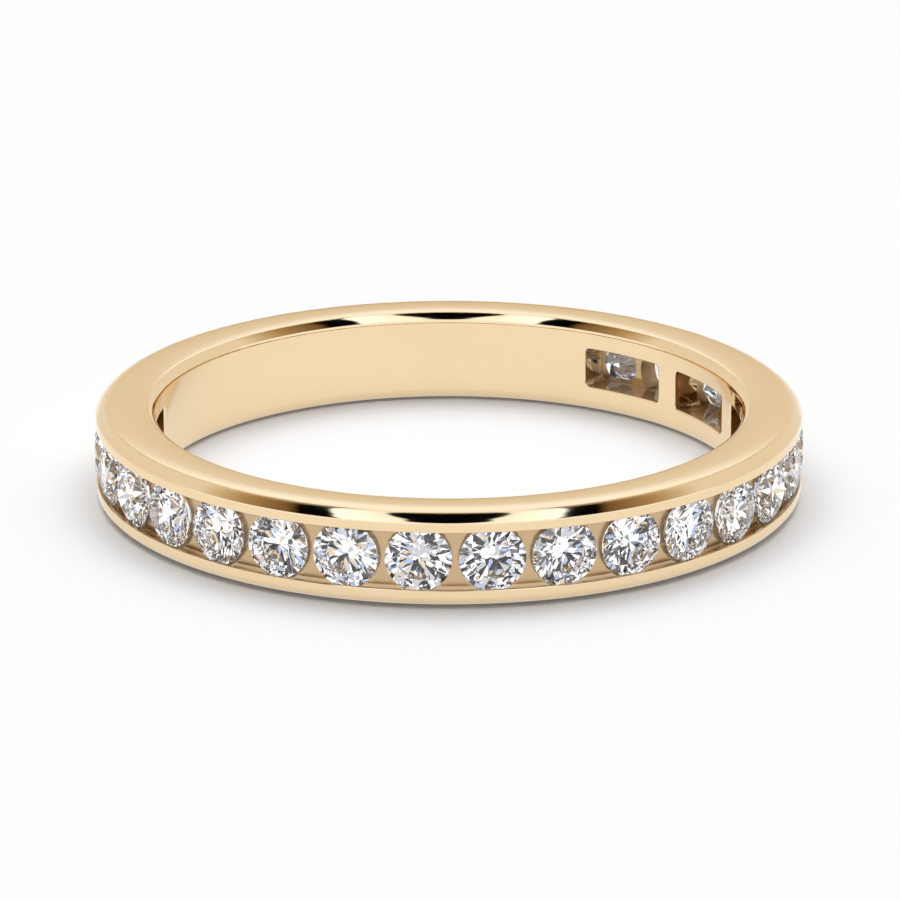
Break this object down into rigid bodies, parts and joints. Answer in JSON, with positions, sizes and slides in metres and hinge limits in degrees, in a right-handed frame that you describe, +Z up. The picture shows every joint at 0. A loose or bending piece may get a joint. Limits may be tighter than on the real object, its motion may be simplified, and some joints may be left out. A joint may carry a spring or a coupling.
{
  "type": "channel set ring",
  "caption": "Polished gold ring lying on its side, with round brilliant stones channel set between two rims and open windows behind them.",
  "frame": {"origin": "on the ring's axis, in the plane that the ring rests on", "axes": "+Z up along the ring's axis, -Y towards the middle of the row of stones"},
  "size_m": [0.021, 0.0209, 0.0028],
  "materials": {
    "gold": "mirror polished yellow gold",
    "stone": "clear, faceted and polished"
  },
  "bodies": {
    "root": {"band": "gold", "stone_01": "stone", "stone_02": "stone", "stone_03": "stone", "stone_04": "stone", "stone_05": "stone", "stone_06": "stone", "stone_07": "stone", "stone_08": "stone", "stone_09": "stone", "stone_10": "stone", "stone_11": "stone", "stone_12": "stone", "stone_13": "stone", "stone_14": "stone", "stone_15": "stone", "stone_16": "stone", "stone_17": "stone", "stone_18": "stone", "stone_19": "stone", "stone_20": "stone", "stone_21": "stone", "stone_22": "stone"}
  },
  "joints": []
}
